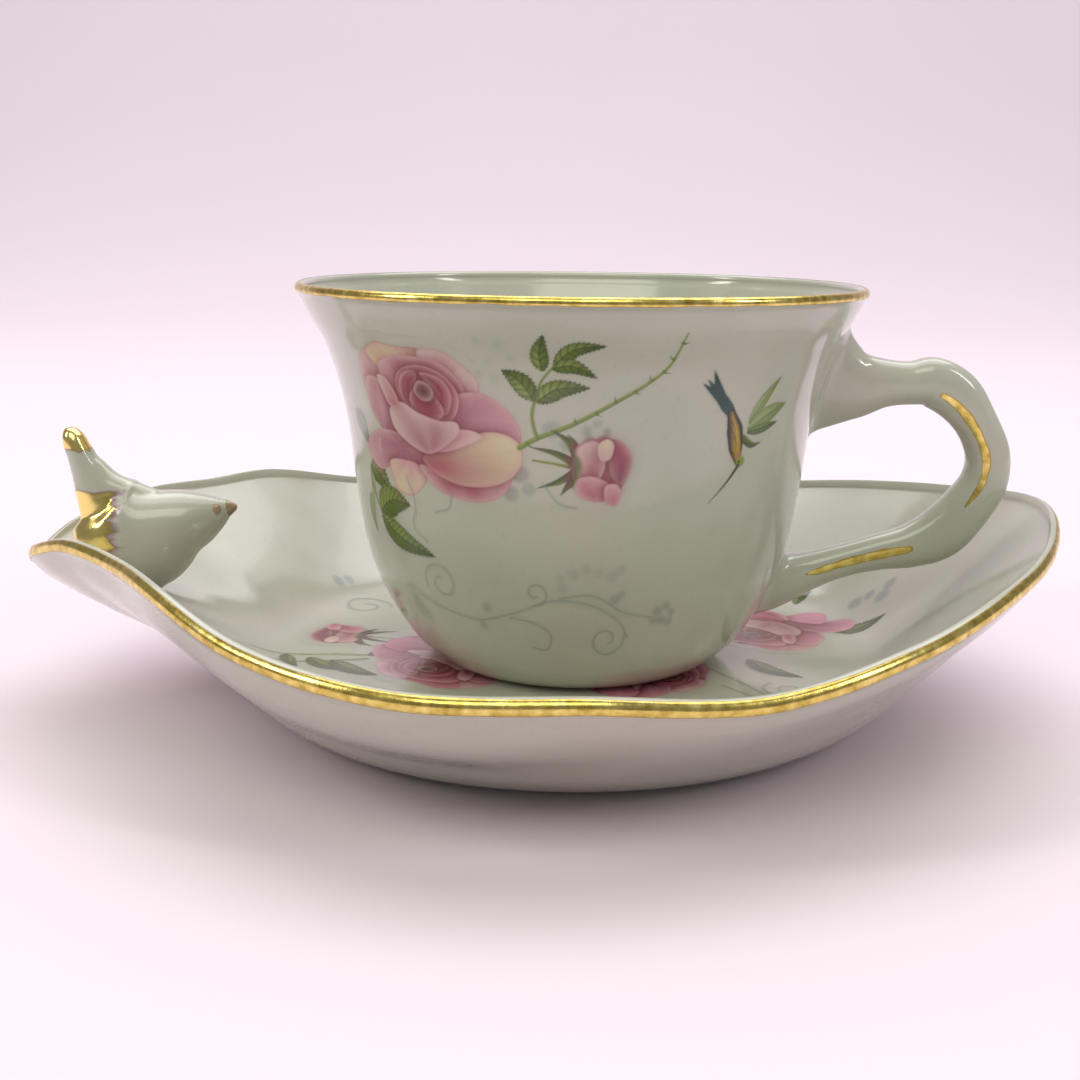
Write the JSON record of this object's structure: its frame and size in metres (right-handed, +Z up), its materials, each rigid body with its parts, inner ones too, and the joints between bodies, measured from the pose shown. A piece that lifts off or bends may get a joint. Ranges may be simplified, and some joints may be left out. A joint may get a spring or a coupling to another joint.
{
  "type": "teacup with saucer",
  "caption": "Porcelain teacup with a branch-shaped handle on a leaf-shaped saucer, gilded rims, flower decoration and a small bird on the saucer's lip.",
  "frame": {"origin": "middle of the set's bounding box at the table surface", "axes": "+Z up, +X from the bird's lip towards the handle, the decorated front faces -Y"},
  "size_m": [0.1772, 0.1534, 0.0726],
  "materials": {
    "saucer_porcelain": "gloss",
    "cup_porcelain": "gloss",
    "bird_porcelain": "gloss",
    "gilding": "polished",
    "brown_enamel": "gloss"
  },
  "bodies": {
    "saucer": {"saucer_dish": "saucer_porcelain", "saucer_foot_ring": "saucer_porcelain", "saucer_rim_gilding": "gilding", "bird_figure": "bird_porcelain", "bird_rump_gilding_front": "gilding", "bird_rump_gilding_back": "gilding", "bird_tail_tip_gilding": "gilding", "bird_eye_front": "brown_enamel", "bird_eye_back": "brown_enamel", "bird_beak": "brown_enamel"},
    "cup": {"cup_bowl": "cup_porcelain", "cup_foot_ring": "cup_porcelain", "cup_handle": "cup_porcelain", "cup_rim_gilding": "gilding", "handle_gilding_upper_front": "gilding", "handle_gilding_lower_front": "gilding", "handle_gilding_upper_back": "gilding", "handle_gilding_lower_back": "gilding"}
  },
  "joints": [
    {"name": "cup_lift", "type": "slide", "parent": "saucer", "child": "cup", "axis": [0, 0, 1], "range_m": [0, 0.06]}
  ]
}
